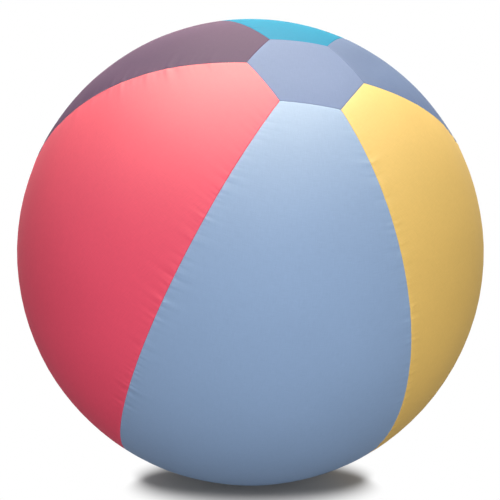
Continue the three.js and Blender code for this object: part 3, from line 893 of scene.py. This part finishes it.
def make_clip(from_across, to_across, along):
    bm = bmesh.new()
    middle, width = (from_across + to_across) / 2, abs(to_across - from_across)
    block(bm, (0, 0, 0), (width, STOP_LENGTH, TOOTH_HEIGHT), STOP_EDGE, 3)
    for vert in bm.verts:
        vert.co.z *= lerp(STOP_WAIST, 1, (abs(vert.co.y) / (STOP_LENGTH / 2)) ** 2)
    place = zip_place(along + STOP_LENGTH / 2, 0, CHAIN_MIDDLE) @ Matrix.Translation((middle, 0, 0))
    bmesh.ops.transform(bm, matrix=place, verts=bm.verts)
    return bm


top_stop_at = ZIP_LENGTH - STOP_FROM_END - STOP_LENGTH
for colour, side in SIDES.items():
    name = f"top_stop_{colour}_side"
    clip = make_clip(side * STOP_INNER, side * STOP_OUTER, top_stop_at)
    add_piece(name, clip, nickel, "ball", "zip_metal", f"zip_{name}")
clip = make_clip(-STOP_OUTER, STOP_OUTER, STOP_FROM_END)
add_piece("bottom_stop", clip, nickel, "ball", "zip_metal", "zip_bottom_stop")
print("three stops")

# %% [markdown]
# ## Zip slider
# The slider is two plates that hug the chain from both sides, joined by a thin web that runs
# between the two rows of teeth. A low bridge on its upper plate carries the pull. The plates are
# bevelled blocks, and the bridge is one bar whose end face is extruded up, spun round a corner,
# along, round again and down, as such a bar would be bent.

# %% Plates and bridge
SLIDER_WIDTH, SLIDER_HEIGHT = 6.8 * MM, 5 * MM
SLIDER_CORNER, SLIDER_RIM = 1.4 * MM, 0.3 * MM
PLATE = 1 * MM
PLATE_TOP, PLATE_BOTTOM = CHAIN_MIDDLE + SLIDER_HEIGHT / 2, CHAIN_MIDDLE - SLIDER_HEIGHT / 2
BRIDGE_WIDTH, BRIDGE_BAR, BRIDGE_BEND = 1.4 * MM, 0.9 * MM, 0.75 * MM
BRIDGE_LENGTH, BRIDGE_OPENING = 6.4 * MM, 2.014 * MM
SUNK = 0.2 * MM


def slider_plate(bm, middle, rise):
    """A plate with rounded corners and a softened rim on the side it shows."""
    edges = plain_box(bm, (0, 0, middle), (SLIDER_WIDTH, SLIDER_LENGTH, PLATE))
    uprights = [e for e in edges if abs(e.verts[0].co.z - e.verts[1].co.z) > PLATE / 2]
    round_edges(bm, uprights, SLIDER_CORNER, 6)
    height = middle + rise * PLATE / 2
    rim = [e for e in bm.edges if all(abs(v.co.z - height) < 1e-6 for v in e.verts)]
    round_edges(bm, rim, SLIDER_RIM, 3)


def bend_bridge(bm):
    """The bridge, bent from one bar. Its two feet stand a little inside the plate."""
    foot = bmesh.ops.create_grid(bm, x_segments=1, y_segments=1, size=0.5)["verts"]
    bmesh.ops.scale(bm, vec=(BRIDGE_WIDTH, BRIDGE_BAR, 1), verts=foot)
    start = BRIDGE_LENGTH / 2 - BRIDGE_BAR / 2
    bmesh.ops.translate(bm, vec=(0, -start, PLATE_TOP - SUNK), verts=foot)
    face = foot[0].link_faces[0]
    bend_at = PLATE_TOP + BRIDGE_OPENING + BRIDGE_BAR / 2 - BRIDGE_BEND
    upright = bend_at - PLATE_TOP + SUNK
    straight = [(0, 0, upright), (0, 2 * (start - BRIDGE_BEND), 0), (0, 0, -upright)]
    corners = [(0, BRIDGE_BEND - start, bend_at), (0, start - BRIDGE_BEND, bend_at)]
    for i, run in enumerate(straight):
        made = bmesh.ops.extrude_face_region(bm, geom=[face])
        verts = [g for g in made["geom"] if isinstance(g, bmesh.types.BMVert)]
        bmesh.ops.translate(bm, vec=run, verts=verts)
        face = next(g for g in made["geom"] if isinstance(g, bmesh.types.BMFace))
        if i < len(corners):
            end = [face, *face.edges, *face.verts]
            quarter = {"axis": (-1, 0, 0), "angle": math.pi / 2, "steps": 6}
            turned = bmesh.ops.spin(bm, geom=end, cent=corners[i], **quarter)
            face = next(g for g in turned["geom_last"] if isinstance(g, bmesh.types.BMFace))


print(f"slider {SLIDER_WIDTH / MM} mm wide, {SLIDER_LENGTH / MM} mm long")

# %% Slider
FLANGE, FLANGE_EDGE, FLANGE_ROOT = 0.8 * MM, 0.12 * MM, 0.8 * MM
WEB, WEB_LENGTH, WEB_AT, WEB_EDGE = 0.4 * MM, 3 * MM, 2.8 * MM, 0.08 * MM


def make_slider():
    bm = bmesh.new()
    upper, lower = PLATE_TOP - PLATE / 2, PLATE_BOTTOM + PLATE / 2
    slider_plate(bm, upper, 1)
    slider_plate(bm, lower, -1)
    flange_x = (SLIDER_WIDTH - FLANGE) / 2
    flange_length = SLIDER_LENGTH - 2 * SLIDER_CORNER
    flanges = [
        (TAPE_TOP + CLEARANCE, PLATE_TOP - FLANGE_ROOT),
        (PLATE_BOTTOM + FLANGE_ROOT, TAPE_TOP - TAPE_THICKNESS - CLEARANCE),
    ]
    for x in (-flange_x, flange_x):
        for low, high in flanges:
            block(bm, (x, 0, (low + high) / 2), (FLANGE, flange_length, high - low), FLANGE_EDGE)
    block(bm, (0, WEB_AT, (upper + lower) / 2), (WEB, WEB_LENGTH, upper - lower), WEB_EDGE)
    bend_bridge(bm)
    bmesh.ops.remove_doubles(bm, verts=bm.verts, dist=1e-7)
    bmesh.ops.recalc_face_normals(bm, faces=bm.faces)
    bmesh.ops.transform(bm, matrix=zip_place(SLIDER_REST, 0, 0), verts=bm.verts)
    return bm


slider = add_piece("slider", make_slider(), nickel, "zip_slider", "zip_metal", "zip_slider")
edges = slider.modifiers.new("softened edges", "BEVEL")
edges.width = 0.1 * MM
edges.segments = 2
edges.limit_method = "ANGLE"
print(f"slider: {len(slider.data.polygons)} faces")

# %% [markdown]
# ## Zip pull
# The pull is a flat tab stamped from sheet metal, with a window for the bridge and an eye at its
# free end. A flat curve with its holes as inner outlines, extruded and bevelled, is the shortest way
# to a plate with holes. It becomes a mesh before it is put in its place, and a few raised ribs give
# the fingers a grip.

# %% A stamped plate
PULL_PLATE, PULL_EDGE = 1 * MM, 0.15 * MM


def arc(x, y, radius, start, stop, steps=8):
    """Points along an arc, with its angles in quarter turns."""
    angles = [lerp(start, stop, i / steps) * math.pi / 2 for i in range(steps + 1)]
    return [(x + radius * math.cos(a), y + radius * math.sin(a)) for a in angles]


def rounded(width, bottom, top, low, high):
    """A rectangle whose two lower and two upper corners have these radii."""
    half = width / 2
    points = arc(half - low, bottom + low, low, -1, 0) + arc(half - high, top - high, high, 0, 1)
    return points + arc(high - half, top - high, high, 1, 2) + arc(low - half, bottom + low, low, 2, 3)


def stamped_plate(outlines):
    """A plate with holes, as a mesh: the first outline is the plate's, the others are the holes'."""
    curve = bpy.data.curves.new("plate", "CURVE")
    curve.dimensions = "2D"
    curve.fill_mode = "BOTH"
    curve.extrude = PULL_PLATE / 2 - PULL_EDGE
    curve.bevel_depth = PULL_EDGE
    curve.bevel_resolution = 2
    curve.offset = -PULL_EDGE
    for outline in outlines:
        add_spline(curve, [(x, y, 0) for x, y in outline], True)
    flat = bpy.data.objects.new("plate", curve)
    mesh = bpy.data.meshes.new_from_object(flat)
    bpy.data.objects.remove(flat)
    bpy.data.curves.remove(curve)
    return mesh


print(f"plate {PULL_PLATE / MM} mm thick")

# %% Pull
PULL_WIDTH, PULL_LENGTH = 5.4 * MM, 24 * MM
PULL_AXIS = PLATE_TOP + BRIDGE_OPENING / 2
PULL_BAR, PULL_EYE = 1 * MM, 1.3 * MM
WINDOW_WIDTH, WINDOW_LENGTH = 2 * MM, 3.525 * MM
GRIP_RIBS, GRIP_START, GRIP_PITCH = 4, 10.5 * MM, 1.7 * MM
GRIP_SIZE, GRIP_EDGE = (3.4 * MM, 0.8 * MM, 0.4 * MM), 0.18 * MM


def make_pull():
    top = PULL_BAR / 2
    bottom = top - PULL_LENGTH
    round_end = PULL_WIDTH / 2 - 0.01 * MM
    plate = stamped_plate(
        [
            rounded(PULL_WIDTH, bottom, top, round_end, 0.45 * MM),
            rounded(WINDOW_WIDTH, -top - WINDOW_LENGTH, -top, 0.3 * MM, 0.3 * MM),
            arc(0, bottom + PULL_WIDTH / 2, PULL_EYE, 0, 4, 24)[:-1],
        ]
    )
    bm = bmesh.new()
    bm.from_mesh(plate)
    bmesh.ops.remove_doubles(bm, verts=bm.verts, dist=1e-6)
    bmesh.ops.recalc_face_normals(bm, faces=bm.faces)
    for i in range(GRIP_RIBS):
        for face in (-1, 1):
            centre = (0, -GRIP_START - GRIP_PITCH * i, face * PULL_PLATE / 2)
            block(bm, centre, GRIP_SIZE, GRIP_EDGE)
    place = zip_place(SLIDER_REST, 0, 0) @ Matrix.Translation((0, 0, PULL_AXIS))
    bmesh.ops.transform(bm, matrix=place, verts=bm.verts)
    return bm


pull = add_piece("pull", make_pull(), nickel, "zip_pull", "zip_metal", "zip_pull")
print(f"pull: {len(pull.data.polygons)} faces")

# %% [markdown]
# ## Stitches that hold the zip
# A row of stitches runs round the opening, and a bar of close stitches locks each end of it. Each
# stitch is a small drawn-out ball, sunk a little into the cloth. Two hundred of them stay light
# because each has only two dozen faces.

# %% Topstitching
TOPSTITCH_OUT = SLOT_EDGE + TOPSTITCH_IN
TOPSTITCH_PITCH = 3.1 * MM
TOPSTITCH_ENDS = (-11 * MM, ZIP_LENGTH + 11 * MM)
BAR_PLACES = (-8 * MM, ZIP_LENGTH + 8 * MM)
BAR_STITCHES, BAR_PITCH = 6, 0.38 * MM


def make_stitch(length):
    bm = bmesh.new()
    bmesh.ops.create_uvsphere(bm, u_segments=6, v_segments=4, radius=1)
    bmesh.ops.rotate(bm, matrix=Matrix.Rotation(math.pi / 2, 3, "X"), verts=bm.verts)
    bmesh.ops.scale(bm, vec=(0.24 * MM, length / 2, 0.2 * MM), verts=bm.verts)
    return to_mesh("stitch", bm)


def make_topstitching():
    bm = bmesh.new()
    stitch, bar = make_stitch(2.5 * MM), make_stitch(9 * MM)
    sideways = Matrix.Rotation(math.pi / 2, 4, "Z")
    count = round((TOPSTITCH_ENDS[1] - TOPSTITCH_ENDS[0]) / TOPSTITCH_PITCH)
    for side in (-1, 1):
        for i in range(count):
            along = lerp(*TOPSTITCH_ENDS, (i + 0.5) / count)
            stamp(bm, stitch, zip_place(along, side * TOPSTITCH_OUT, -0.05 * MM))
    across_count = round(2 * TOPSTITCH_OUT / TOPSTITCH_PITCH)
    for along in TOPSTITCH_ENDS:
        for i in range(across_count):
            across = lerp(-TOPSTITCH_OUT, TOPSTITCH_OUT, (i + 0.5) / across_count)
            stamp(bm, stitch, zip_place(along, across, 0) @ sideways)
    for along in BAR_PLACES:
        for i in range(BAR_STITCHES):
            slant = Matrix.Rotation(0.03 * (-1) ** i, 4, "Z")
            shift = (i - (BAR_STITCHES - 1) / 2) * BAR_PITCH
            stamp(bm, bar, zip_place(along + shift, 0, 0.05 * MM) @ slant @ sideways)
    return bm


topstitching = add_piece("zip_topstitching", make_topstitching(), thread, "ball", "sewing_thread")
print(f"topstitching: {len(topstitching.data.polygons)} faces")

# %% [markdown]
# ## Balloon and plug
# Inside the cover is the balloon that gives it its shape. Its neck sits in a dimple under the zip,
# where it can be reached, and a plug closes it. Both are turned shapes, so a profile is spun round
# the neck's axis. They are hidden in every picture, but a part is looked at from inside too.

# %% Latex finish


def latex_finish(name, colour):
    material, tree, shader = bare_finish(name)
    bloom = mottle(tree, object_place(tree), (60, 60, 60), 5.0)
    shade = toned(tree, colour, spread(tree, bloom, 0.93, 1.05))
    gloss = spread(tree, bloom, 0.32, 0.5)
    fill(tree, shader, Base_Color=shade, Normal=bumped(tree, bloom, 0.1, 0.2 * MM), Roughness=gloss)
    return material


latex = latex_finish("balloon_latex", (0.78, 0.7, 0.52))
plug_plastic = moulded_finish("plug_plastic", (0.8, 0.8, 0.77), 0.42)
print("finishes:", latex.name, plug_plastic.name)

# %% Balloon and plug
BALLOON_RADIUS = 247.74 * MM
BALLOON_WALL = 0.4 * MM
DIMPLE_REACH = 135 * MM / RADIUS
# Heights from the ball's centre, on the axis through the middle of the zip
LIP_TOP, PLUG_FOOT = 240.591 * MM, 227.9 * MM
NECK_BASE = LIP_TOP - 16 * MM
NECK_AXIS = zip_place(ZIP_LENGTH / 2, 0, -RADIUS)
# Profiles in millimetres: the distance from the axis, and the height above the neck's base or the foot
LIP = 9.5
NECK_PROFILE = [(8.1, 0.3), (7.6, 1.2), (7.5, 3), (7.5, 12.6), (8.3, 12.9), (9.2, 13.6), (LIP, 14.5)]
NECK_PROFILE += [(9.2, 15.4), (8.4, 15.9), (7.5, 16), (6.8, 15.6), (6.6, 14.8)]
PLUG_PROFILE = [(0, 0), (4.6, 0), (5.4, 0.3), (5.9, 1)]
for rib in (4.4, 8.7):
    PLUG_PROFILE += [(6, rib - 0.8), (6.15, rib - 0.4), (6.2, rib), (6.15, rib + 0.4), (6, rib + 0.8)]
PLUG_PROFILE += [(6, 12.85), (6.15, 12.99), (9.7, 12.99), (9.93, 13.1), (10, 13.4), (10, 15.1)]
PLUG_PROFILE += [(9.85, 15.6), (9.5, 15.9), (9, 15.99), (8, 15.99), (7.5, 15.8), (6, 15.4), (3, 15.2)]
PLUG_PROFILE.append((0, 15.15))


def raised(profile, base):
    return [(x * MM, base + z * MM) for x, z in profile]


def turn_profile(profile, steps):
    """A profile of distances from the neck's axis and along it, spun all the way round."""
    bm = spin_round(profile, steps)
    bmesh.ops.remove_doubles(bm, verts=bm.verts, dist=1e-6)
    bmesh.ops.recalc_face_normals(bm, faces=bm.faces)
    bmesh.ops.transform(bm, matrix=NECK_AXIS, verts=bm.verts)
    return bm


def balloon_profile():
    nearest = math.asin(LIP * MM / NECK_BASE)
    profile = [(0, -BALLOON_RADIUS)]
    for i in range(1, 81):
        angle = lerp(math.pi, nearest, (i / 80) ** 0.8)
        dimple = (1 + math.cos(math.pi * angle / DIMPLE_REACH)) / 2 if angle < DIMPLE_REACH else 0
        reach = BALLOON_RADIUS - (BALLOON_RADIUS - NECK_BASE) * dimple
        profile.append((reach * math.sin(angle), reach * math.cos(angle)))
    return profile + raised(NECK_PROFILE, NECK_BASE)


bm = turn_profile(balloon_profile(), 96)
balloon = add_piece("balloon_skin", bm, latex, "ball", "balloon_latex", "balloon")
thicken(balloon, BALLOON_WALL)
bm = turn_profile(raised(PLUG_PROFILE, PLUG_FOOT), 40)
plug = add_piece("neck_plug", bm, plug_plastic, "ball", "plug_plastic", "balloon_plug")
print(f"balloon {len(balloon.data.polygons)} faces, plug {len(plug.data.polygons)} faces")

# %% [markdown]
# ## Floor and surroundings
# The ball lies on a plain pale floor that runs white into the distance. To the camera, and in
# reflections, the floor and the world are white. For the light that they throw back on the ball they
# are dimmer, as in a studio whose walls are far away, so the ball's underside falls into shade. Two
# soft ovals of the floor are a painted shadow: there the floor is a darker grey matt surface, which
# takes the real shade as well, one oval right under the ball and a wider one drawn out towards the
# viewer. Their edges blur into the white, so the outline of the shadow is painted by the ovals.

# %% Helpers for white surroundings


def seen_directly(tree):
    """1 for rays from the camera, from a reflection or through glass, and 0 for scattered light."""
    path = add_node(tree, "ShaderNodeLightPath")
    seen = reckon(tree, "MAXIMUM", path.outputs["Is Camera Ray"], path.outputs["Is Glossy Ray"])
    return reckon(tree, "MAXIMUM", seen, path.outputs["Is Transmission Ray"])


def mix_shaders(tree, factor, first, second):
    made = tree.nodes.new("ShaderNodeMixShader")
    for socket, value in zip(made.inputs, (factor, first, second)):
        connect(tree, socket, value)
    return made.outputs[0]


def length_of(tree, vector):
    made = add_node(tree, "ShaderNodeVectorMath", {"operation": "LENGTH"}, Vector=vector)
    return made.outputs["Value"]


def outside_painted_shadow(tree, middle, half, stretch, blur):
    """0 on an oval of painted shadow on the floor and 1 around it, with a blur that is stretched in
    depth.
    """
    shift = (-middle[0] / half[0], -middle[1] / half[1], 0)
    scale = (1 / half[0], 1 / half[1], 0)
    place = object_place(tree)
    oval = add_node(tree, "ShaderNodeMapping", Vector=place, Location=shift, Scale=scale).outputs[0]
    steep = add_node(tree, "ShaderNodeMapping", Vector=oval, Scale=(1, stretch, 0)).outputs[0]
    reach = length_of(tree, oval)
    share = reckon(tree, "DIVIDE", reach, length_of(tree, steep))
    beyond = reckon(tree, "MULTIPLY", reckon(tree, "SUBTRACT", reach, 1), share)
    soft = {"interpolation_type": "SMOOTHSTEP"}
    sockets = {"Value": beyond, "From_Min": -blur, "From_Max": blur}
    return add_node(tree, "ShaderNodeMapRange", soft, **sockets).outputs[0]


print("helpers for the surroundings are ready")

# %% Floor
FLOOR_HALF = 8
DIM_GREY, PAINTED_SHADOW_GREY, WHITE = (0.18, 0.18, 0.18, 1), (0.36, 0.36, 0.36, 1), (1, 1, 1, 1)
# The two ovals of painted shadow: the floor in them is a darker grey, and they draw the shadow's outline
PAINTED_SHADOW_DRAWN_OUT = {"middle": (0.003, -0.0385), "half": (0.1238, 0.0535), "stretch": 5.8, "blur": 0.095}
PAINTED_SHADOW_UNDER_BALL = {"middle": (0, 0.03), "half": (0.095, 0.095), "stretch": 1, "blur": 0.2}
SHADOW_FALL = 1.5


def floor_finish():
    material = bpy.data.materials.new("floor")
    material.use_nodes = True
    tree = material.node_tree
    tree.nodes.clear()
    dim = add_node(tree, "ShaderNodeBsdfDiffuse", Color=DIM_GREY).outputs[0]
    shadow_grey = add_node(tree, "ShaderNodeBsdfDiffuse", Color=PAINTED_SHADOW_GREY).outputs[0]
    white = add_node(tree, "ShaderNodeEmission", Color=WHITE, Strength=1.0).outputs[0]
    # Painted shadow: a grey matt floor inside the two ovals, white outside them
    clear_of_painted_shadow = reckon(tree, "MULTIPLY", outside_painted_shadow(tree, **PAINTED_SHADOW_DRAWN_OUT), outside_painted_shadow(tree, **PAINTED_SHADOW_UNDER_BALL))
    shown = mix_shaders(tree, reckon(tree, "POWER", clear_of_painted_shadow, SHADOW_FALL), shadow_grey, white)
    whole = mix_shaders(tree, seen_directly(tree), dim, shown)
    add_node(tree, "ShaderNodeOutputMaterial", Surface=whole)
    return material


bm = bmesh.new()
bmesh.ops.create_grid(bm, x_segments=1, y_segments=1, size=FLOOR_HALF)
floor_mesh = to_mesh("floor", bm)
floor_mesh.materials.append(floor_finish())
show("floor", floor_mesh)
print(f"floor {2 * FLOOR_HALF} m wide")

# %% World
AMBIENT = 0.14
world = bpy.data.worlds.new("studio")
bpy.context.scene.world = world
world.use_nodes = True
sky = world.node_tree
sky.nodes.clear()
ambient = add_node(sky, "ShaderNodeBackground", Color=WHITE, Strength=AMBIENT).outputs[0]
backdrop = add_node(sky, "ShaderNodeBackground", Color=WHITE, Strength=1.0).outputs[0]
add_node(sky, "ShaderNodeOutputWorld", Surface=mix_shaders(sky, seen_directly(sky), ambient, backdrop))
print("the world is white to the camera, and lights at", AMBIENT)

# %% [markdown]
# ## Lamps
# Two soft boxes give the ball its colours: a large one beside the camera opens up the front, and a
# nearer one overhead lifts the cap and the tops of the gores. The broad, warm shine on those tops
# comes from a wide box that is seen in reflections only: the cloth reflects so little that it has
# to be bright, and as plain light it would wash the colours out. Two more boxes stand behind the
# ball, so that its far side can be looked at too. They add no shine, because it would draw a pale
# rim along the outline.

# %% Lamps


def soft_box(name, heading, rise, reach, size, level, colours=True, shine=True, tint=(1, 1, 1)):
    """A round lamp that faces the ball from a heading (0 is the camera's) and a rise, in degrees.

    At level 1 a white face turned to it would render as white. It can leave out colours or shine.
    """
    lamp = bpy.data.lights.new(name, "AREA")
    lamp.shape = "DISK"
    lamp.size = size
    lamp.energy = level * (math.pi * reach) ** 2
    lamp.color = tint
    box = show(name, lamp)
    heading, rise = math.radians(heading), math.radians(rise)
    aside, ahead = math.sin(heading) * math.cos(rise), math.cos(heading) * math.cos(rise)
    box.location = CENTRE + Vector((aside, -ahead, math.sin(rise))) * reach
    face_ball(box)
    box.visible_camera = False
    box.visible_diffuse = colours
    box.visible_glossy = shine
    print(f"{name} at level {level}")


soft_box("front_box", 4, 6, 2.2, 1.6, 0.91)
soft_box("overhead_box", 10, 87, 1.2, 0.9, 0.7)
soft_box("shine_box", 0, 74, 1.7, 2.4, 42, colours=False, tint=(1, 0.92, 0.64))
soft_box("back_left_box", -150, 9, 2.2, 1.6, 0.62, shine=False)
soft_box("back_right_box", 150, 9, 2.2, 1.6, 0.62, shine=False)

# %% [markdown]
# ## Colour
# The Standard view keeps a colour on the screen as it is written.

# %% View
bpy.context.scene.view_settings.view_transform = "Standard"
